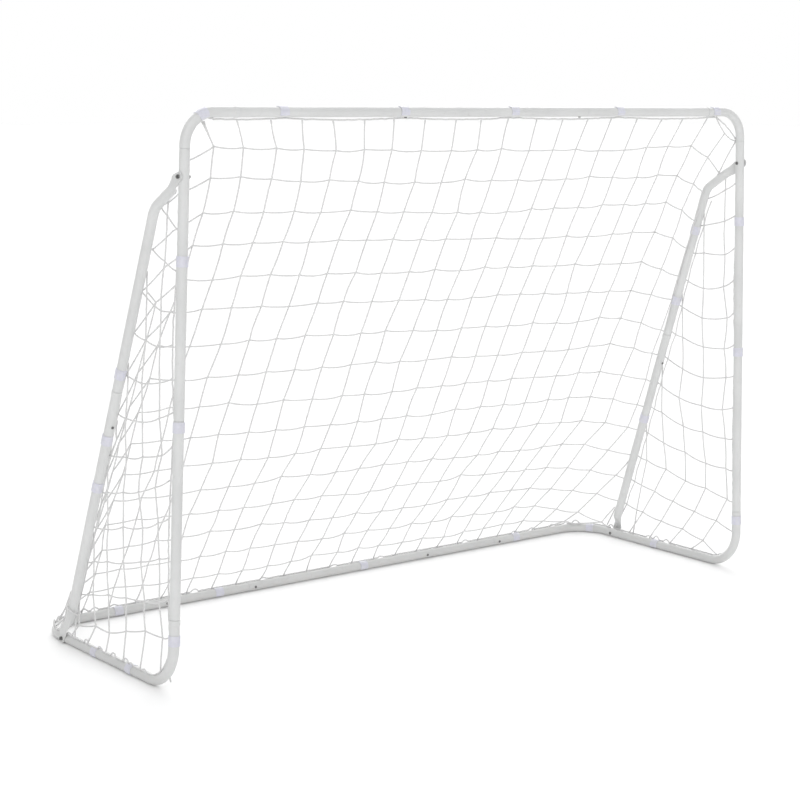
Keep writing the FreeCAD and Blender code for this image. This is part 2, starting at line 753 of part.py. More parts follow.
def build_clips():
    clip = straight_clip()
    bar = [(clip, clip_pose(Vector(x, MOUTH_Y, BAR_Z), along_x(1), -UP)) for x in CROSSBAR_CLIPS]
    bend = value("dims.top_bend")
    centre = Vector(bend * math.tan((math.pi / 2 - LEAN) / 2) - BAR_HALF, MOUTH_Y, BAR_Z - bend)
    turn = math.radians(value("dims.top_clip_turn"))
    towards = Vector(-math.sin(turn), 0, math.cos(turn))
    bar.append((bent_clip("top_bend_clip", "dims.top_bend", 180), bend_pose(centre, towards, BACK)))
    group("crossbar_clips", bar)

    group("post_clips", [
        (clip, clip_pose(in_side(side, 0, up), up_post(side), BACK))
        for word, side in SIDES.items() for up in POST_CLIPS[word]
    ])
    group("base_side_clips", [
        (clip, clip_pose(in_side(side, back, 0), BACK, -UP))
        for word, side in SIDES.items() for back in BASE_SIDE_CLIPS[word]
    ])

    steep = math.radians(value(LOWER_SLOPE))
    knee_back, knee_up = value("dims.brace_knee_back"), value("dims.brace_knee_up")
    group("brace_clips", [
        (clip, clip_pose(
            in_side(side, knee_back + down * math.cos(steep), knee_up - down * math.sin(steep)),
            up_post(side) * math.sin(steep) - BACK * math.cos(steep), outward(side) * side,
        ))
        for word, side in SIDES.items() for down in BRACE_CLIPS[word]
    ])

    bar = [(clip, clip_pose(Vector(x, -MOUTH_Y, BASE_Z), along_x(1), -UP)) for x in BACK_BAR_CLIPS]
    bend = value("dims.rear_bend")
    centre = Vector(BASE_HALF - bend, -MOUTH_Y - bend, BASE_Z)
    turn = math.radians(value("dims.rear_clip_turn"))
    towards = Vector(math.sin(turn), math.cos(turn), 0)
    bar.append((bent_clip("rear_bend_clip", "dims.rear_bend", 270), bend_pose(centre, towards, UP)))
    group("back_bar_clips", bar)


# ---------------------------------------------------------------- net


def build_net():
    """The net's three panels as thin flat sheets, clear of the tubes."""
    drop = value("dims.bar_height - dims.tube_od / 2")
    depth = value("dims.base_depth")
    slope = math.hypot(drop, depth)
    down = Vector(0, depth / slope, -drop / slope)
    slope_text = "sqrt((dims.bar_height - dims.tube_od / 2) ^ 2 + dims.base_depth ^ 2)"
    back = doc.addObject("PartDesign::Body", "net_back_sheet")
    sketch = new_sketch(back, "panel", "XY_Plane")
    top, low = "dims.net_top_inset", f"{slope_text} - dims.net_low_inset"
    narrow, wide = "(dims.bar_span / 2 - dims.net_inset)", "(dims.base_span / 2 - dims.net_inset)"
    outline(sketch, [(top, narrow), (low, wide), (low, f"-{wide}"), (top, f"-{narrow}")])
    pad = back.newObject("PartDesign::Pad", "sheet")
    pad.Profile = sketch
    pad.setExpression("Length", "dims.net_thickness")
    pad.SideType = "Symmetric"
    keep("net_back", back, pose(Vector(0, MOUTH_Y, BAR_Z), down, down.cross(Vector(1, 0, 0))))

    rise = f"({POST_TEXT})"
    for word, side in SIDES.items():
        panel = doc.addObject("PartDesign::Body", f"net_side_{word}_sheet")
        sketch = new_sketch(panel, "panel", "XY_Plane")
        inset = "dims.net_inset"
        back_low = f"dims.base_depth * (1 - {inset} / {rise})"
        up_high = f"{rise} * (1 - {inset} / dims.base_depth)"
        flip = "" if side > 0 else "-"
        outline(sketch, [
            (inset, f"{flip}{inset}"),
            (back_low, f"{flip}{inset}"),
            (inset, f"{flip}({up_high})"),
        ])
        pad = panel.newObject("PartDesign::Pad", "sheet")
        pad.Profile = sketch
        pad.setExpression("Length", "dims.net_thickness")
        pad.SideType = "Symmetric"
        start = in_side(side, 0, 0, value("dims.net_side_offset"))
        keep(f"net_side_{word}", panel, pose(start, BACK, outward(side)))


# ---------------------------------------------------------------- build, check and write


def check():
    """Stop on any failed feature, empty cut or invalid shape."""
    for feature in doc.Objects:
        if "Invalid" in feature.State or "Error" in feature.State:
            raise RuntimeError(f"{feature.Label} failed: {feature.State}")
    for pocket in pockets:
        removed = pocket.BaseFeature.Shape.Volume - pocket.Shape.Volume
        if removed < 1:
            raise RuntimeError(f"{pocket.Label} in {pocket.getParentGeoFeatureGroup().Label} cut nothing")
    for node, feature in parts.items():
        if feature.Shape.isNull() or not feature.Shape.isValid():
            raise RuntimeError(f"{node} has no valid shape")


build_crossbar()
build_posts()
build_base()
build_back_bar()
build_braces()
build_fasteners()
build_clips()
build_net()
doc.recompute()
check()
os.makedirs("parts", exist_ok=True)
for node, feature in parts.items():
    feature.Shape.exportStep(f"parts/{node}.step")
    print(f"{node}: {len(feature.Shape.Solids)} solid(s), {feature.Shape.Volume / 1000:.1f} cm3")
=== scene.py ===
import json
import math

import bpy
import numpy as np
from mathutils import Euler, Matrix, Vector


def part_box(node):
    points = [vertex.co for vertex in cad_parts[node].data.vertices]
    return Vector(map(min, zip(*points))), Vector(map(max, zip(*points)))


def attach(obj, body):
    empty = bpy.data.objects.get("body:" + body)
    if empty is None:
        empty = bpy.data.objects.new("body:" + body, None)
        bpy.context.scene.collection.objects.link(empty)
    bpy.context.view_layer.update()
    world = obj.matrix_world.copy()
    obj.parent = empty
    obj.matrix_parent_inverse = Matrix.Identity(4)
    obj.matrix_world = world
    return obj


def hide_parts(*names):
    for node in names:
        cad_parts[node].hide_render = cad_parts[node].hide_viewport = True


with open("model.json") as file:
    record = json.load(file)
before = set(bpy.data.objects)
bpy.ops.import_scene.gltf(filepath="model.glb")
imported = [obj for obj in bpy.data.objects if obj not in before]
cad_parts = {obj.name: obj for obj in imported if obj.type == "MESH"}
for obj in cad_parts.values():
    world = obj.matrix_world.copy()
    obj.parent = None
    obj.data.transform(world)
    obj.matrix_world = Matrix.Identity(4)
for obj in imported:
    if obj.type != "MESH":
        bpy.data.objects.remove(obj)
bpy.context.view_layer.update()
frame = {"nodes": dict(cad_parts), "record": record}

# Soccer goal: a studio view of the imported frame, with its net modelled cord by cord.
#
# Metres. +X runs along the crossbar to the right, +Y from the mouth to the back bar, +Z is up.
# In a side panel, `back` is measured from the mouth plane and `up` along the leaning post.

rng = np.random.default_rng(7)

# ---------------------------------------------------------------- the frame's own sizes

bar_low, bar_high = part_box("crossbar_middle")
TUBE = (bar_high.z - bar_low.z) / 2
BAR_Z = bar_high.z - TUBE
MOUTH_Y = bar_high.y - TUBE
BACK_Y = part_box("back_bar_middle")[1].y - TUBE
DEPTH = BACK_Y - MOUTH_Y
BASE_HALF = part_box("rear_corner_right")[1].x - TUBE
post_low, post_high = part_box("post_upper_right")
LEAN = math.atan2(BASE_HALF - (post_low.x + post_high.x) / 2, (post_low.z + post_high.z) / 2 - TUBE)
BAR_HALF = BASE_HALF - math.tan(LEAN) * (BAR_Z - TUBE)
foot_low, foot_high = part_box("brace_foot_bolts")
BRACE_FOOT = (foot_low.y + foot_high.y) / 2 - MOUTH_Y
BRACE_KNEE = (0.142, 1.243)
BRACE_TOP = 1.330
TOP_BEND = 0.085
BOTTOM_BEND = 0.115
REAR_BEND = 0.12
SLOPE = math.hypot(DEPTH, BAR_Z - TUBE)
SIDES = {"left": -1, "right": 1}

# ---------------------------------------------------------------- the net's sizes

MESH = 0.1035
ROWS = 16
STRINGS = 19
SIDE_STRINGS = 6
CORD = 0.0022
BORDER = 0.0023
BORDER_SIDES = 8
TOP_EDGE = {"left": 0.978, "right": 0.883}
RIGHT_CORNER_TIE = 0.922
CROSSBAR_TIES = (-1.0, -0.736, -0.336, 0.065, 0.488, RIGHT_CORNER_TIE, 1.0)
POST_TIES = {
    "left": (0.02, 0.130, 0.689, 1.115),
    "right": (0.02, 0.156, 0.717, 1.142),
}
BAR_SAG = 0.005
POST_SAG = {"left": 0.016, "right": 0.006}
WIDE_SPAN = 0.4

# The crease between the back panel and a side panel draws in below the crossbar. Lower down it widens
# at the left, and near the ground the whole net is pulled to the left.
CREASE = {"left": 0.900, "right": 0.846}
CREASE_FADE = {"left": 0.8, "right": 1.9}
LEFT_CREASE_LIMIT = -0.945
LEFT_WIDENING = 0.035
WIDENING_ROW = 3
WIDENING_ROWS = 5
PULL_STEP = 0.04
PULL_ROW = 11
LAST_PULL_ROW = 15.5

# The rows close up below the closing row. Some lift at the left, all drop at the right, and the top
# few have a belly in the middle.
CLOSING_ROW = 10
ROW_CLOSING = 0.00228
LEFT_LIFT = 0.03
LEFT_LIFT_ROW = 4.3
LEFT_LIFT_ROWS = 2.3
RIGHT_DROP = 0.010
RIGHT_DROP_STEP = 0.0034
RIGHT_RELIEF_STEP = 0.004
TOP_ROW_BELLY = 0.016
BELLY = 0.010
LAST_BELLY_ROW = 5

# The side panels. The left one passes inside its brace, and the right one outside.
AT_BRACE = {"left": -TUBE - 0.002, "right": TUBE + 0.002}
AT_POST = 0.005
LAST_BRACE_ROW = {"left": 13, "right": 14}
LAST_POST_ROW = 13
TOP_ROW_UP = 1.350
POST_STEP = 0.1033
PANEL_SAG = {"left": 0.018, "right": 0.040}
SAG_ROWS = {"left": 2, "right": 5}
STRING_BACK = {"left": 0.056, "right": 0.070}
STRING_STEP = 0.097
WRAP_STEP = 0.095

# How a row's end on its post differs from even rows. The left-hand rows fall to the post near the top,
# then come back up and end a little high. The right-hand rows meet it high near the top.
LEFT_FALL = 0.055
LEFT_RETURN = 0.067
RETURN_ROW = 4
RETURN_ROWS = 4
FULL_RETURN = 1.2
RIGHT_RISE = 0.020
RIGHT_RISE_ROW = 2
RIGHT_RISE_ROWS = 9

# How far knots stray from their even places.
TOP_WANDER = 0.006
KNOT_WANDER = 0.003
HANGING_WANDER = 0.004
SEAM_WANDER = 0.002
BORDER_WANDER = 0.0006


def side_point(side, back, up, out=0.0):
    """A point of a leaning side panel."""
    return np.array([
        side * (BASE_HALF - up * math.sin(LEAN) + out * math.cos(LEAN)),
        MOUTH_Y + back,
        TUBE + up * math.cos(LEAN) + out * math.sin(LEAN),
    ])


def slope_point(x, down):
    """A point of the back panel, so far down the slope from the crossbar."""
    return np.array([x, MOUTH_Y + down * DEPTH / SLOPE, BAR_Z - down * (BAR_Z - TUBE) / SLOPE])


def brace_back(up):
    """How far back the brace is at a height."""
    knee_back, knee_up = BRACE_KNEE
    if up > knee_up:
        return knee_back * (BRACE_TOP - up) / (BRACE_TOP - knee_up)
    return knee_back + (BRACE_FOOT - knee_back) * (knee_up - up) / knee_up


def brace_up(back):
    """How high the brace is at a distance back."""
    knee_back, knee_up = BRACE_KNEE
    if back < knee_back:
        return BRACE_TOP + (knee_up - BRACE_TOP) * back / knee_back
    return knee_up * (BRACE_FOOT - back) / (BRACE_FOOT - knee_back)


def clamped(share):
    return min(1.0, max(0.0, share))


def row_down(i, x):
    """How far down the slope a row lies."""
    t = clamped((x + CREASE["left"]) / (CREASE["left"] + CREASE["right"]))
    below = max(0, i - CLOSING_ROW)
    level = MESH * i - ROW_CLOSING * below ** 2
    left = -LEFT_LIFT * math.exp(-((i - LEFT_LIFT_ROW) / LEFT_LIFT_ROWS) ** 2)
    right = RIGHT_DROP + RIGHT_DROP_STEP * min(i, CLOSING_ROW) - RIGHT_RELIEF_STEP * below
    belly = 0.0
    if i <= LAST_BELLY_ROW:
        belly = TOP_ROW_BELLY if i == 1 else BELLY
    return level + left * (1 - t) + right * t + belly * (1 - (2 * t - 1) ** 2)


def crease_x(word, i):
    """Where the back panel turns into a side panel."""
    spread = (TOP_EDGE[word] - CREASE[word]) * math.exp(-i / CREASE_FADE[word])
    pulled = PULL_STEP * max(0.0, min(i, LAST_PULL_ROW) - PULL_ROW)
    if word == "right":
        return CREASE[word] + spread - pulled
    drawn_in = -CREASE[word] - spread
    widening = LEFT_WIDENING * clamped((i - WIDENING_ROW) / WIDENING_ROWS)
    return max(drawn_in - widening - pulled, min(LEFT_CREASE_LIMIT, drawn_in))


def post_up(i):
    """The height of a row on a post if the rows were even."""
    return TOP_ROW_UP - POST_STEP * (i - 1)


def row_start(word, i):
    """The height at which a row meets its post."""
    if word == "right":
        return post_up(i) + RIGHT_RISE * max(0.0, 1 - (i - RIGHT_RISE_ROW) / RIGHT_RISE_ROWS)
    returned = min(FULL_RETURN, max(0.0, (i - RETURN_ROW) / RETURN_ROWS))
    return post_up(i) - LEFT_FALL + LEFT_RETURN * returned


def wander(size):
    """A small seeded shift of a point."""
    return rng.normal(0.0, size, 3)


# ---------------------------------------------------------------- cords and knots


def ball():
    """The corners and faces of a small round knot, with unit radius."""
    golden = (1 + math.sqrt(5)) / 2
    corners = []
    for a in (-1, 1):
        for b in (-golden, golden):
            corners += [(0, a, b), (a, b, 0), (b, 0, a)]
    corners = np.array(corners, float)
    corners /= np.linalg.norm(corners[0])
    edge = min(np.linalg.norm(corners[0] - c) for c in corners[1:])
    near = [[np.linalg.norm(p - q) < edge * 1.1 for q in corners] for p in corners]
    count = len(corners)
    faces = []
    for i in range(count):
        for j in range(i + 1, count):
            for k in range(j + 1, count):
                if near[i][j] and near[j][k] and near[i][k]:
                    turn = np.dot(np.cross(corners[j] - corners[i], corners[k] - corners[i]), corners[i])
                    faces.append((i, j, k) if turn > 0 else (i, k, j))
    return corners, faces


BALL_CORNERS, BALL_FACES = ball()


class Netting:
    """Cords and knots that are built into one mesh."""

    def __init__(self):
        self.corners, self.faces, self.uvs = [], [], []

    def cord(self, path, radius=CORD, sides=6):
        """A round cord along a path. Its UV runs round the cord and along it, in cord widths."""
        path = np.array(path, float)
        ahead = np.gradient(path, axis=0)
        ahead /= np.linalg.norm(ahead, axis=1)[:, None]
        across = np.cross(ahead[0], (0.31, 0.17, 0.93) if abs(ahead[0][2]) < 0.8 else (1, 0.13, 0.07))
        start = len(self.corners)
        along = 0.0
        rows = []
        for n, place in enumerate(path):
            if n:
                along += np.linalg.norm(place - path[n - 1]) / (2 * radius)
            rows.append(along)
            across = across - ahead[n] * np.dot(across, ahead[n])
            across /= np.linalg.norm(across)
            other = np.cross(ahead[n], across)
            for k in range(sides):
                turn = 2 * math.pi * k / sides
                self.corners.append(place + radius * (across * math.cos(turn) + other * math.sin(turn)))
        for n in range(len(path) - 1):
            low, high = start + n * sides, start + (n + 1) * sides
            for k in range(sides):
                after = (k + 1) % sides
                self.faces.append((low + k, low + after, high + after, high + k))
                left, right = k / sides, (k + 1) / sides
                low_v, high_v = rows[n], rows[n + 1]
                self.uvs += [(left, low_v), (right, low_v), (right, high_v), (left, high_v)]
        last = start + (len(path) - 1) * sides
        self.faces.append(tuple(start + k for k in reversed(range(sides))))
        self.faces.append(tuple(last + k for k in range(sides)))
        self.uvs += [(k / sides, 0.0) for k in range(sides)] * 2

    def knot(self, place, radius=0.0028):
        """A small lumpy knot."""
        stretch = radius * rng.uniform(0.8, 1.15, 3)
        turn = rng.uniform(0, math.pi)
        spin = np.array([
            [math.cos(turn), -math.sin(turn), 0], [math.sin(turn), math.cos(turn), 0], [0, 0, 1]
        ])
        start = len(self.corners)
        for corner in BALL_CORNERS:
            self.corners.append(place + spin @ (corner * stretch))
        for face in BALL_FACES:
            self.faces.append(tuple(start + k for k in face))
            self.uvs += [(BALL_CORNERS[k][0], BALL_CORNERS[k][2] * 2) for k in face]

    def build(self, name, material, nodes):
        mesh = bpy.data.meshes.new(name)
        mesh.from_pydata([tuple(c) for c in self.corners], [], self.faces)
        layer = mesh.uv_layers.new(name="UVMap")
        layer.data.foreach_set("uv", np.array(self.uvs, np.float32).ravel())
        mesh.shade_smooth()
        mesh.materials.append(material)
        piece = bpy.data.objects.new(name, mesh)
        bpy.context.scene.collection.objects.link(piece)
        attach(piece, "root")
        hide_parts(*nodes)
        return piece


def hang(start, end, sag, steps=4):
    """The points of a slack cord after its start, up to and including its end."""
    points = []
    for n in range(1, steps + 1):
        t = n / steps
        place = start + (end - start) * t
        points.append(place - np.array([0, 0, 4 * sag * t * (1 - t)]))
    return points


def row_cord(net, knots, slack=0.0035):
    """A row through its knots, a little slack between each pair."""
    path = [knots[0]]
    for start, end in zip(knots, knots[1:]):
        path += hang(start, end, slack * rng.uniform(0.3, 1.5))
    net.cord(path)


def string_cord(net, knots, bow=0.001):
    """A string down through its knots, nearly straight, with a small bow between each pair."""
    path = [knots[0]]
    for start, end in zip(knots, knots[1:]):
        side = rng.normal(0, bow, 3)
        for t in (1 / 3, 2 / 3):
            path.append(start + (end - start) * t + side)
        path.append(end)
    net.cord(path)


def between(points, spacing):
    """Points at equal steps along a path, by its length."""
    points = np.array(points)
    steps = np.linalg.norm(np.diff(points, axis=0), axis=1)
    length = np.concatenate([[0], np.cumsum(steps)])
    places = [spacing * k for k in range(1, 9) if spacing * k < length[-1] - spacing * 0.32]
    return [np.array([np.interp(p, length, points[:, a]) for a in range(3)]) for p in places]


# ---------------------------------------------------------------- where the net is tied


def tie_sag(place, ties, deep):
    """How far the border hangs away from its tube at a place between two ties."""
    for low, high in zip(ties, ties[1:]):
        if low <= place <= high:
            share = (high - low) / WIDE_SPAN
            return deep * min(1.0, share) * math.sin(math.pi * (place - low) / (high - low))
    return 0.0


BAR_BEHIND = 0.004
POST_OUT = 0.004


def bar_edge(x):
    """The net's border under the straight part of the crossbar."""
    drop = TUBE + BORDER + tie_sag(x, CROSSBAR_TIES, BAR_SAG)
    return np.array([x, MOUTH_Y + BAR_BEHIND, BAR_Z - drop])


def post_edge(word, up):
    """The border behind a post."""
    behind = TUBE + BORDER + tie_sag(up, POST_TIES[word], POST_SAG[word])
    return side_point(SIDES[word], behind, up, POST_OUT)


BEND_X = BAR_HALF - TOP_BEND * math.tan((math.pi / 2 - LEAN) / 2)
CORNER_TURN = 0.5
CORNER_ROLL = 0.2


def bend_edge(turn, roll):
    """The border at the left-hand bend. Turn 0 is at the bar, and roll 0 is inside the bend."""
    radius = TOP_BEND - (TUBE + BORDER) * math.cos(roll)
    return np.array([
        -BEND_X - radius * math.sin(turn),
        MOUTH_Y + (TUBE + BORDER) * math.sin(roll),
        BAR_Z - TOP_BEND + radius * math.cos(turn),
    ])


CHORD_UP = 1.40
CHORD_SAG = 0.020
CHORD_RISE = 0.008


def chord_edge(t, sag):
    """A border cord at the right-hand bend, which no clip holds, from the bar to the post."""
    start, end = bar_edge(RIGHT_CORNER_TIE), post_edge("right", CHORD_UP)
    return start + (end - start) * t - np.array([0, 0, 4 * sag * t * (1 - t)])


# The border's place on its tube's skin, in tube radii from the tube's axis or from the ground.
BASE_UP, BASE_OUT = 0.86, 0.5
BACK_UP, BACK_OUT = 1.96, 0.25


def base_edge(side, back):
    """The border on top of the base's side tube, and round the bends at its two ends."""
    lift, out = TUBE * BASE_UP + BORDER, TUBE * BASE_OUT
    straight_end = DEPTH - REAR_BEND
    if back < BOTTOM_BEND:
        drop = math.sqrt((BOTTOM_BEND - lift) ** 2 - (BOTTOM_BEND - back) ** 2)
        return side_point(side, back, BOTTOM_BEND - drop, out)
    if back <= straight_end:
        return side_point(side, back, lift, out)
    turn = (back - straight_end) / REAR_BEND
    radius = REAR_BEND + out
    return np.array([
        side * (BASE_HALF - REAR_BEND + radius * math.cos(turn)),
        BACK_Y - REAR_BEND + radius * math.sin(turn),
        TUBE + lift,
    ])


def back_edge(x):
    """The border on top of the back bar."""
    return np.array([x, BACK_Y + TUBE * BACK_OUT, TUBE * BACK_UP + BORDER])


REAR_TURN_END = DEPTH - REAR_BEND + REAR_BEND * math.pi / 2
BAR_STRAIGHT = BASE_HALF - REAR_BEND


def base_route(side, along):
    """The border's place so far back along the base side, then round the bend and the back bar."""
    if along <= REAR_TURN_END:
        return base_edge(side, along)
    return back_edge(side * (BAR_STRAIGHT - (along - REAR_TURN_END)))


def landing(x):
    """Where a string of the back panel meets the base: its side and its distance along the route."""
    return math.copysign(1, x), REAR_TURN_END + BAR_STRAIGHT - abs(x)


def kept_inside(place):
    """A knot of the back panel, held on the rear bend if it would fall outside it."""
    centre = np.array([math.copysign(BAR_STRAIGHT, place[0]), BACK_Y - REAR_BEND])
    reach = place[:2] - centre
    far = np.linalg.norm(reach)
    if abs(place[0]) > BAR_STRAIGHT and reach[1] > 0 and far > REAR_BEND - TUBE:
        spot = centre + reach * REAR_BEND / far
        return np.array([spot[0], spot[1], max(place[2], 2 * TUBE + 2 * CORD)])
    return place


# ---------------------------------------------------------------- back panel

# Two waves along the rows, each with its height, its turn per metre and its turn per row.
WAVES = ((0.004, 2.4, 0.9), (0.003, 5.3, -1.7))
TOP_MEMORY_ROWS = 4

back_net = Netting()
top_x = np.linspace(-TOP_EDGE["left"], TOP_EDGE["right"], STRINGS)
top_x[1:-1] += rng.normal(0, TOP_WANDER, STRINGS - 2)
top_share = (top_x - top_x[0]) / (top_x[-1] - top_x[0])
back_knots = [[bar_edge(x) for x in top_x]]
back_knots[0][0] = bend_edge(CORNER_TURN, CORNER_ROLL)
for i in range(1, ROWS + 1):
    share = math.exp(-i / TOP_MEMORY_ROWS)
    left, right = crease_x("left", i), crease_x("right", i)
    even = np.linspace(left, right, STRINGS)
    dragged = top_x + (left - top_x[0]) * (1 - top_share) + (right - top_x[-1]) * top_share
    row = []
    for x in even * (1 - share) + dragged * share:
        wave = sum(tall * math.sin(per_metre * x + per_row * i) for tall, per_metre, per_row in WAVES)
        row.append(kept_inside(slope_point(x, row_down(i, x) + wave) + wander(KNOT_WANDER)))
    back_knots.append(row)
bottom_x = np.linspace(crease_x("left", ROWS), crease_x("right", ROWS), STRINGS)
back_knots.append([base_route(*landing(x)) for x in bottom_x])

for row in back_knots[1:-1]:
    row_cord(back_net, row)
for j in range(STRINGS):
    string_cord(back_net, [row[j] for row in back_knots])
for row in back_knots:
    for place in row:
        back_net.knot(place)

edge = [bar_edge(x) for x in np.linspace(-BEND_X, RIGHT_CORNER_TIE, 150)]
back_net.cord([p + wander(0.0005) for p in edge], BORDER, BORDER_SIDES)
doubled = back_knots[0][0] + np.array([0.006, 0, 0])
back_net.cord([doubled] + hang(doubled, back_knots[1][0], 0.003, 6))

LOOP_STEP = 0.004
LOOP_STEPS = 6
LOOP_HEIGHTS = (0.5, 1.3)
SIDE_LOOP = 0.009
BACK_LOOP = 0.007
# The chance of a loop at each step.
SIDE_LOOPS = {"left": 0.12, "right": 0.03}
BACK_LOOPS = 0.02


def looped(path, chance, tall):
    """The border along a base tube, with small loose loops that stand off it."""
    result = []
    steps_left = 0
    for place in path:
        if steps_left == 0 and rng.uniform() < chance:
            steps_left = LOOP_STEPS
            height = tall * rng.uniform(*LOOP_HEIGHTS)
        lift = 0.0
        if steps_left:
            lift = height * math.sin(math.pi * (LOOP_STEPS + 1 - steps_left) / (LOOP_STEPS + 1))
            steps_left -= 1
        result.append(place + np.array([0, 0, lift + abs(rng.normal(0, BORDER_WANDER))]))
    return result


edge = [back_edge(x) for x in np.arange(-BAR_STRAIGHT, BAR_STRAIGHT, LOOP_STEP)]
back_net.cord(looped(edge, BACK_LOOPS, BACK_LOOP), BORDER, BORDER_SIDES)

# ---------------------------------------------------------------- side panels

# A row passes the left brace lower than it would on the post, by a step for each row and a droop that
# is deepest at one row. It passes the right brace higher and higher.
LEFT_SEAM_ROW = 3
LEFT_SEAM_STEP = 0.0072
DROOP = 0.036
DROOP_ROW = 8
DROOP_ROWS = 5
TOP_DROOP = 0.012
TOP_DROOP_STEP = 0.0048
RIGHT_SEAM_ROW = 5.3
RIGHT_SEAM_STEP = 0.012

# The hanging strings lean as they near the ground: first row of the lean, and its size for each row.
LEFT_LEAN = 0.045
LEFT_LEAN_ROWS = 4
RIGHT_FORWARD_ROW = 9
RIGHT_FORWARD_ROWS = 3
RIGHT_FORWARD_STEP = 0.008
RIGHT_BACK_ROW = 12
RIGHT_BACK_STEP = 0.055
SEAM_GAP = 0.025

# The lowest row of the right panel rises from the corner of the base.
LOW_ROW_UP = 0.018
LOW_ROW_BACK = 0.074
LOW_ROW_CURVE = 0.6
CORNER_BACK = 0.09

LOW_SAG_ROWS = 5
WIDE_PANEL = 0.35
SIDE_SLACK = 0.003
# Where the rows that pass below the brace end on the base.
BASE_ENDS = {14: 0.52, 15: 0.60, 16: DEPTH - REAR_BEND * 0.2}
FIRST_ROW_AT_BRACE = (0.085, 1.278)
WRAP_REACH = 0.35
WRAP_REACH_STEP = 0.05
WRAP_DROP = 0.012
WRAP_FOOT_STEP = 0.082


def seam_up(word, i):
    """The height at which a row passes the brace."""
    if word == "right":
        return post_up(i) + RIGHT_SEAM_STEP * (i - RIGHT_SEAM_ROW)
    if i >= DROOP_ROW:
        droop = DROOP * (1 - ((i - DROOP_ROW) / DROOP_ROWS) ** 2)
    else:
        droop = TOP_DROOP + TOP_DROOP_STEP * max(0, i - LEFT_SEAM_ROW)
    return post_up(i) - LEFT_SEAM_STEP * (i - LEFT_SEAM_ROW) - droop


def lean_back(word, i):
    """How much further back the hanging strings cross a row."""
    if word == "left":
        return LEFT_LEAN * min(1.0, (LAST_POST_ROW - i) / LEFT_LEAN_ROWS)
    forward = RIGHT_FORWARD_STEP * min(max(i - RIGHT_FORWARD_ROW, 0), RIGHT_FORWARD_ROWS)
    return -forward + RIGHT_BACK_STEP * max(0, i - RIGHT_BACK_ROW)


def side_row_up(word, i, back, seam_back):
    """The height of a row in the side panel, between the post and the brace."""
    t = back / seam_back
    if i > LAST_POST_ROW:
        rise = max(0.0, (back - LOW_ROW_BACK) / (seam_back - LOW_ROW_BACK)) ** LOW_ROW_CURVE
        return LOW_ROW_UP + (seam_up(word, i) - LOW_ROW_UP) * rise
    near_top, near_ground = (i - 2) / SAG_ROWS[word], (LAST_POST_ROW - i) / LOW_SAG_ROWS
    depth = min(1.0, near_top, near_ground, seam_back / WIDE_PANEL)
    start = row_start(word, i)
    return start + (seam_up(word, i) - start) * t - 4 * PANEL_SAG[word] * depth * t * (1 - t)


def row_end(word, i):
    """Where a row of the back panel ends, round the corner: on the post, the brace or the base."""
    side = SIDES[word]
    if i == 1 and word == "left":
        return post_edge(word, post_up(1))
    if i == 1:
        return side_point(side, *FIRST_ROW_AT_BRACE, AT_BRACE[word])
    if i <= LAST_BRACE_ROW[word]:
        up = seam_up(word, i)
        return side_point(side, brace_back(up), up, AT_BRACE[word]) + wander(SEAM_WANDER)
    return base_edge(side, BASE_ENDS[i])


def wrap_curve(side, i, crease, end):
    """The curve of a row round the corner, which bulges outwards."""
    reach = WRAP_REACH + WRAP_REACH_STEP * max(0, i - CLOSING_ROW)
    bulge = crease + np.array([side * reach * abs(end[0] - crease[0]), 0.0, -WRAP_DROP])
    steps = np.linspace(0, 1, 13)
    return [(1 - t) ** 2 * crease + 2 * t * (1 - t) * bulge + t * t * end for t in steps]


def hanging_knots(word, i):
    """A row's knots between the post and the brace, by the number of their string from the post."""
    seam_back = brace_back(seam_up(word, i))
    knots = {}
    for k in range(1, SIDE_STRINGS + 1):
        back = STRING_BACK[word] + STRING_STEP * (k - 1) + lean_back(word, i)
        if back < seam_back - SEAM_GAP:
            t = back / seam_back
            up = side_row_up(word, i, back, seam_back)
            out = AT_POST * (1 - t) + AT_BRACE[word] * t
            knots[k] = side_point(SIDES[word], back, up, out) + wander(HANGING_WANDER)
    return knots


def wrapped_strings(net, word, wrapped, seam):
    """The strings round the corner, between the crease and the ends of the rows."""
    side = SIDES[word]
    tops = {}
    if word == "right":
        tops = {1: chord_edge(0.42, CHORD_SAG), 2: chord_edge(0.95, CHORD_SAG)}
    crease_landing = landing(bottom_x[0] if side < 0 else bottom_x[-1])[1]
    for k, knots in wrapped.items():
        if word == "left":
            knots = {i: place for i, place in knots.items() if i >= 3 + 2 * k}
        first = min(knots)
        if k in tops:
            start = tops[k]
        else:
            above = seam.get(first - 1, knots[first])
            start = above * 0.6 + knots[first] * 0.4 + np.array([0, 0, 0.01])
        foot = base_route(side, crease_landing - WRAP_FOOT_STEP * k)
        string_cord(net, [start, *knots.values(), foot])
        net.knot(foot)


def hanging_strings(net, word, hung):
    """The strings between the post and the brace, from the brace down to the base."""
    side = SIDES[word]
    lean = RIGHT_BACK_STEP if word == "right" else 0.0
    for knots in hung.values():
        back = knots[0][1] - MOUTH_Y
        start = side_point(side, back, brace_up(back), AT_BRACE[word])
        foot = base_edge(side, knots[-1][1] - MOUTH_Y + lean)
        string_cord(net, [start, *knots, foot])
        net.knot(foot)


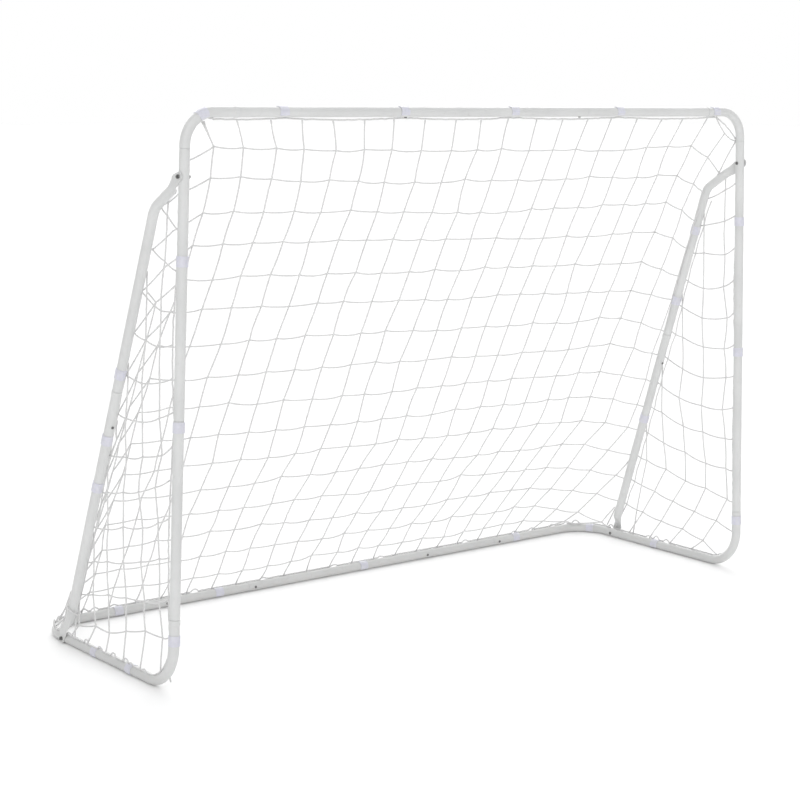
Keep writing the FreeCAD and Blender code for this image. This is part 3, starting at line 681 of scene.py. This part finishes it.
def seam_cords(net, word, seam):
    """The cords that run down the braces: one inside the left brace, and two beside the right brace."""
    side = SIDES[word]
    run = []
    places = list(seam.values())
    if word == "left":
        places = places[4:]
    else:
        out = AT_BRACE[word] + 0.002
        run = [side_point(side, 0.01, 1.33, out), side_point(side, 0.09, 1.275, out)]
    for start, end in zip(places, places[1:]):
        run += [start, (start + end) / 2 + np.array([0, 0.004, 0])]
    run += [places[-1], base_edge(side, BRACE_FOOT + 0.02)]
    if word == "left":
        net.cord(run)
        return
    # Square to the lower part of the brace, in the plane of the side.
    across = np.array([0.0, 0.94, 0.33]) * (TUBE + 2 * CORD)
    net.cord([p + across for p in run])
    net.cord([p - across for p in run[2:]])


def border_cords(net, word):
    """The border from the crossbar down behind the post, then round the corner and along the base."""
    side = SIDES[word]
    posts = [post_edge(word, up) for up in np.linspace(CHORD_UP, 0.13, 90)]
    corner = [base_edge(side, back) for back in np.linspace(0.02, BOTTOM_BEND, 12)]
    if word == "left":
        turns = np.linspace(0, math.pi / 2, 20)
        top = [bend_edge(turn, math.pi / 2 * min(1.0, turn / CORNER_TURN)) for turn in turns]
    else:
        top = [chord_edge(t, -CHORD_RISE) for t in np.linspace(0, 0.97, 10)]
        net.cord([chord_edge(t, CHORD_SAG) for t in np.linspace(0, 1, 10)])
    net.cord([p + wander(BORDER_WANDER) for p in top + posts + corner], BORDER, BORDER_SIDES)
    path = [base_edge(side, back) for back in np.arange(BOTTOM_BEND, REAR_TURN_END, LOOP_STEP)]
    net.cord(looped(path, SIDE_LOOPS[word], SIDE_LOOP), BORDER, BORDER_SIDES)


def build_side(word, side):
    """A side panel. The back panel's rows go on round the corner, past the brace and to the post."""
    net = Netting()
    wrapped = {}
    hung = {}
    seam = {}
    for i in range(1, ROWS + 1):
        crease = back_knots[i][0 if side < 0 else -1]
        end = row_end(word, i)
        inner = between(wrap_curve(side, i, crease, end), WRAP_STEP)
        inner = [place + wander(KNOT_WANDER) for place in inner]
        for k, place in enumerate(inner, start=1):
            wrapped.setdefault(k, {})[i] = place
        row = [crease] + inner + [end]
        if 2 <= i <= LAST_BRACE_ROW[word]:
            seam[i] = end
            knots = hanging_knots(word, i)
            for k, place in knots.items():
                hung.setdefault(k, []).append(place)
            row += reversed(knots.values())
            if i <= LAST_POST_ROW:
                row.append(post_edge(word, row_start(word, i)))
            else:
                row.append(base_edge(side, CORNER_BACK))
        row_cord(net, row, SIDE_SLACK)
        for place in row[1:]:
            net.knot(place)
    wrapped_strings(net, word, wrapped, seam)
    hanging_strings(net, word, hung)
    seam_cords(net, word, seam)
    border_cords(net, word)
    return net


side_nets = {word: build_side(word, side) for word, side in SIDES.items()}


def foot_loop(net):
    """A slack loop of cord round the foot of the left brace."""
    up = 0.085
    centre = side_point(-1, brace_back(up), up)
    along = side_point(-1, brace_back(2 * up), 2 * up) - centre
    along /= np.linalg.norm(along)
    out = side_point(-1, 0, 0, 1) - side_point(-1, 0, 0)
    across = np.cross(along, out)
    radius = TUBE + 2 * CORD
    slant = 0.012
    ring = []
    for turn in np.linspace(0, 2 * math.pi, 25):
        tilt = along * (slant * math.cos(turn))
        ring.append(centre + radius * (out * math.cos(turn) + across * math.sin(turn)) + tilt)
    net.cord(ring)


def loose_tail(net):
    """The end of the border cord, which hangs free at the front left corner."""
    start = base_edge(-1, 0.05)
    steps = [
        (0, 0, 0),
        (0.008, -0.002, 0.004),
        (0.016, -0.006, -0.004),
        (0.020, -0.010, -0.018),
        (0.021, -0.013, -0.032),
    ]
    net.cord([start + np.array(step) for step in steps], BORDER, BORDER_SIDES)


foot_loop(side_nets["left"])
loose_tail(side_nets["left"])

# ---------------------------------------------------------------- materials


def new_material(name):
    material = bpy.data.materials.new(name)
    material.use_nodes = True
    tree = material.node_tree
    return material, tree, tree.nodes["Principled BSDF"]


def node(tree, kind, inputs=None, **settings):
    """A node with its settings, and inputs that are numbers or other nodes' outputs."""
    made = tree.nodes.new(kind)
    for key, number in settings.items():
        setattr(made, key, number)
    for key, item in (inputs or {}).items():
        if isinstance(item, bpy.types.NodeSocket):
            tree.links.new(item, made.inputs[key])
        else:
            made.inputs[key].default_value = item
    return made


def noise(tree, vector, scale, detail=3.0, roughness=0.5):
    inputs = {"Vector": vector, "Scale": scale, "Detail": detail, "Roughness": roughness}
    return node(tree, "ShaderNodeTexNoise", inputs).outputs["Fac"]


def ramp(tree, fac, stops):
    """A colour ramp from (place, colour) pairs."""
    made = node(tree, "ShaderNodeValToRGB", {"Fac": fac})
    elements = made.color_ramp.elements
    while len(elements) < len(stops):
        elements.new(0.5)
    for element, (place, colour) in zip(elements, stops):
        element.position = place
        element.color = (*colour, 1)
    return made.outputs["Color"]


def spread(tree, fac, low, high):
    """Fac from 0.3 to 0.7 mapped onto a range of values."""
    inputs = {"Value": fac, "From Min": 0.3, "From Max": 0.7, "To Min": low, "To Max": high}
    return node(tree, "ShaderNodeMapRange", inputs).outputs["Result"]


def bumped(tree, shader, height, strength, distance):
    bump = node(tree, "ShaderNodeBump", {"Height": height, "Strength": strength, "Distance": distance})
    tree.links.new(bump.outputs["Normal"], shader.inputs["Normal"])


def two_colours(tree, fac, first, second):
    """A mix of two colours. The colour sockets of the mix node share their names, so go by number."""
    colour_a, colour_b, colour_out = 6, 7, 2
    made = node(tree, "ShaderNodeMix", {"Factor": fac, colour_a: first, colour_b: second}, data_type="RGBA")
    return made.outputs[colour_out]


def maths(tree, operation, first, second):
    return node(tree, "ShaderNodeMath", {0: first, 1: second}, operation=operation).outputs[0]


def powder_coat():
    """Satin white powder coat: orange peel, cloudy gloss, faint scuffs, and cloudy patches that are darker
    and rougher towards the ground.
    """
    material, tree, shader = new_material("powder_coat")
    place = node(tree, "ShaderNodeTexCoord").outputs["Object"]
    cloud = noise(tree, place, 7.0, 4.0)
    colour = ramp(tree, cloud, [(0.3, (0.595, 0.60, 0.598)), (0.7, (0.655, 0.66, 0.657))])
    scuff = spread(tree, noise(tree, place, 55.0, 6.0, 0.7), -0.25, 0.12)
    scuff = maths(tree, "MAXIMUM", scuff, 0.0)
    height = node(tree, "ShaderNodeSeparateXYZ", {"Vector": place}).outputs["Z"]
    # Cloudy patches within 5 cm of the ground go darker and rougher, most at the ground itself.
    near_floor = node(tree, "ShaderNodeMapRange", {
        "Value": height, "From Min": 0.0, "From Max": 0.05, "To Min": 0.3, "To Max": 0.0,
    }).outputs["Result"]
    near_floor_patches = maths(tree, "MULTIPLY", near_floor, cloud)
    mixed = two_colours(tree, maths(tree, "ADD", near_floor_patches, scuff), colour, (0.36, 0.34, 0.31, 1))
    tree.links.new(mixed, shader.inputs["Base Color"])
    gloss = spread(tree, noise(tree, place, 24.0, 4.0), 0.30, 0.42)
    tree.links.new(maths(tree, "ADD", gloss, near_floor_patches), shader.inputs["Roughness"])
    peel = noise(tree, place, 650.0, 2.0)
    fine = noise(tree, place, 2600.0, 2.0)
    bumped(tree, shader, maths(tree, "ADD", peel, maths(tree, "MULTIPLY", fine, 0.3)), 0.35, 0.00025)
    shader.inputs["Specular IOR Level"].default_value = 0.5
    return material


def dark_zinc():
    """Dark zinc fasteners with a mottled passivated skin and fine turning marks."""
    material, tree, shader = new_material("dark_zinc")
    place = node(tree, "ShaderNodeTexCoord").outputs["Object"]
    mottle = noise(tree, place, 420.0, 5.0)
    colour = ramp(tree, mottle, [(0.3, (0.13, 0.13, 0.135)), (0.7, (0.26, 0.258, 0.25))])
    tree.links.new(colour, shader.inputs["Base Color"])
    tree.links.new(spread(tree, mottle, 0.28, 0.5), shader.inputs["Roughness"])
    shader.inputs["Metallic"].default_value = 0.9
    bumped(tree, shader, noise(tree, place, 1800.0), 0.3, 0.0001)
    return material


def clip_plastic():
    """Pale lavender moulded plastic with a little light through it, flow marks and a fine grain."""
    material, tree, shader = new_material("clip_plastic")
    place = node(tree, "ShaderNodeTexCoord").outputs["Object"]
    flow = noise(tree, place, 90.0, 3.0)
    colour = ramp(tree, flow, [(0.3, (0.60, 0.60, 0.665)), (0.7, (0.66, 0.66, 0.73))])
    tree.links.new(colour, shader.inputs["Base Color"])
    tree.links.new(spread(tree, flow, 0.3, 0.42), shader.inputs["Roughness"])
    shader.inputs["Subsurface Weight"].default_value = 0.3
    shader.inputs["Subsurface Radius"].default_value = (0.003, 0.003, 0.004)
    shader.inputs["Subsurface Scale"].default_value = 1.0
    bumped(tree, shader, noise(tree, place, 1500.0), 0.25, 0.0001)
    return material


def net_cord():
    """White braided cord: crossing strands from two diagonal waves round the cord, painted shade that
    darkens the grooves between the strands, and fuzz.
    """
    material, tree, shader = new_material("net_cord")
    coordinates = node(tree, "ShaderNodeTexCoord")
    lays = []
    for lean in (1.0, -1.0):
        turned = node(tree, "ShaderNodeMapping", {
            "Vector": coordinates.outputs["UV"], "Scale": (4.0, 0.9 * lean, 1.0),
        })
        lays.append(node(tree, "ShaderNodeTexWave", {
            "Vector": turned.outputs["Vector"], "Scale": 0.3183, "Distortion": 0.4,
        }, wave_type="BANDS", bands_direction="DIAGONAL").outputs["Fac"])
    braid_and_groove_shade = maths(tree, "MAXIMUM", *lays)
    place = coordinates.outputs["Object"]
    tint = noise(tree, place, 12.0, 3.0)
    worn = ramp(tree, tint, [(0.3, (0.70, 0.70, 0.70)), (0.7, (0.78, 0.78, 0.775))])
    # Painted shade: where the braid is low, in the grooves between the strands, the colour goes towards a
    # darker grey.
    colour = two_colours(tree, maths(tree, "MULTIPLY", braid_and_groove_shade, 0.6), (0.60, 0.60, 0.60, 1), worn)
    tree.links.new(colour, shader.inputs["Base Color"])
    fuzz = noise(tree, place, 4000.0, 3.0)
    tree.links.new(spread(tree, fuzz, 0.75, 0.95), shader.inputs["Roughness"])
    shader.inputs["Sheen Weight"].default_value = 0.15
    bumped(tree, shader, maths(tree, "ADD", braid_and_groove_shade, maths(tree, "MULTIPLY", fuzz, 0.3)), 0.6, 0.0004)
    return material


FINISHES = {
    "powder_coat": powder_coat(),
    "dark_zinc": dark_zinc(),
    "clip_plastic": clip_plastic(),
    "net_cord": net_cord(),
}
for part in frame["record"]["subparts"]:
    shape = frame["nodes"][part["node"]]
    for used in shape.material_slots:
        used.material = FINISHES[part["material_slot"]]

back_net.build("back_netting", FINISHES["net_cord"], ["net_back"])
for word, net in side_nets.items():
    net.build(f"{word}_netting", FINISHES["net_cord"], [f"net_side_{word}"])

# ---------------------------------------------------------------- floor, light and camera


def studio_floor():
    mesh = bpy.data.meshes.new("studio_floor")
    reach = 60.0
    corners = [(-reach, -reach, 0), (reach, -reach, 0), (reach, reach, 0), (-reach, reach, 0)]
    mesh.from_pydata(corners, [], [(0, 1, 2, 3)])
    floor = bpy.data.objects.new("studio_floor", mesh)
    bpy.context.scene.collection.objects.link(floor)
    material, tree, shader = new_material("studio_paper")
    place = node(tree, "ShaderNodeTexCoord").outputs["Object"]
    paper = noise(tree, place, 3.0, 5.0)
    colour = ramp(tree, paper, [(0.3, (0.93, 0.93, 0.93)), (0.7, (0.95, 0.95, 0.95))])
    tree.links.new(colour, shader.inputs["Base Color"])
    shader.inputs["Roughness"].default_value = 0.9
    shader.inputs["Specular IOR Level"].default_value = 0.2
    shader.inputs["Emission Color"].default_value = (1, 1, 1, 1)
    shader.inputs["Emission Strength"].default_value = 0.03
    mesh.materials.append(material)


def softbox(name, place, target, width, height, power):
    data = bpy.data.lights.new(name, "AREA")
    data.shape = "RECTANGLE"
    data.size, data.size_y = width, height
    data.energy = power
    lamp = bpy.data.objects.new(name, data)
    bpy.context.scene.collection.objects.link(lamp)
    aim = Vector(target) - Vector(place)
    lamp.matrix_world = Matrix.Translation(place) @ aim.to_track_quat("-Z", "Y").to_matrix().to_4x4()


def lobe(tree, direction, towards, tightness, strength):
    """A soft patch of the sky round one direction."""
    aim = np.array(towards, float)
    aim /= np.linalg.norm(aim)
    facing = node(tree, "ShaderNodeVectorMath", {0: direction, 1: tuple(aim)}, operation="DOT_PRODUCT")
    facing = maths(tree, "MAXIMUM", facing.outputs["Value"], 0.0)
    return maths(tree, "MULTIPLY", maths(tree, "POWER", facing, tightness), strength)


def sky():
    """A white studio, brighter behind the goal and in front of it, and white where the camera sees it."""
    world = bpy.data.worlds.new("studio")
    bpy.context.scene.world = world
    world.use_nodes = True
    tree = world.node_tree
    tree.nodes.clear()
    direction = node(tree, "ShaderNodeTexCoord").outputs["Generated"]
    height = node(tree, "ShaderNodeSeparateXYZ", {"Vector": direction}).outputs["Z"]
    glow = node(tree, "ShaderNodeMapRange", {
        "Value": height, "From Min": 0.0, "From Max": 0.9, "To Min": 0.42, "To Max": 0.62,
    }).outputs["Result"]
    glow = maths(tree, "ADD", glow, lobe(tree, direction, (0.57, 0.71, 0.28), 4.0, 3.2))
    glow = maths(tree, "ADD", glow, lobe(tree, direction, (-0.6, -0.75, 0.25), 4.0, 1.1))
    lit = node(tree, "ShaderNodeBackground", {"Color": (1, 1, 1, 1), "Strength": glow})
    seen = node(tree, "ShaderNodeBackground", {"Color": (1, 1, 1, 1), "Strength": 1.0})
    ray = node(tree, "ShaderNodeLightPath").outputs["Is Camera Ray"]
    mixed = node(tree, "ShaderNodeMixShader", {0: ray, 1: lit.outputs[0], 2: seen.outputs[0]})
    output = node(tree, "ShaderNodeOutputWorld")
    tree.links.new(mixed.outputs[0], output.inputs["Surface"])


def camera():
    """The view from the field at the left of the goal, at about the height of the crossbar."""
    data = bpy.data.cameras.new("camera")
    data.sensor_width = 36.0
    data.lens = 84.9
    data.shift_x = -0.0375
    data.shift_y = -0.10
    data.clip_end = 200.0
    seen = bpy.data.objects.new("camera", data)
    bpy.context.scene.collection.objects.link(seen)
    tilt, roll, heading = 82.954, -0.614, -38.712
    turn = Euler([math.radians(angle) for angle in (tilt, roll, heading)])
    seen.matrix_world = Matrix.Translation((-3.5379, -4.4781, 1.5753)) @ turn.to_matrix().to_4x4()
    bpy.context.scene.camera = seen


studio_floor()
softbox("key", (-2.6, -3.4, 4.6), (0, 0, 0.6), 3.0, 3.0, 30)
softbox("fill", (4.0, -2.5, 3.2), (0, 0, 0.7), 2.5, 2.5, 10)
sky()
camera()
bpy.context.scene.view_settings.view_transform = "Standard"
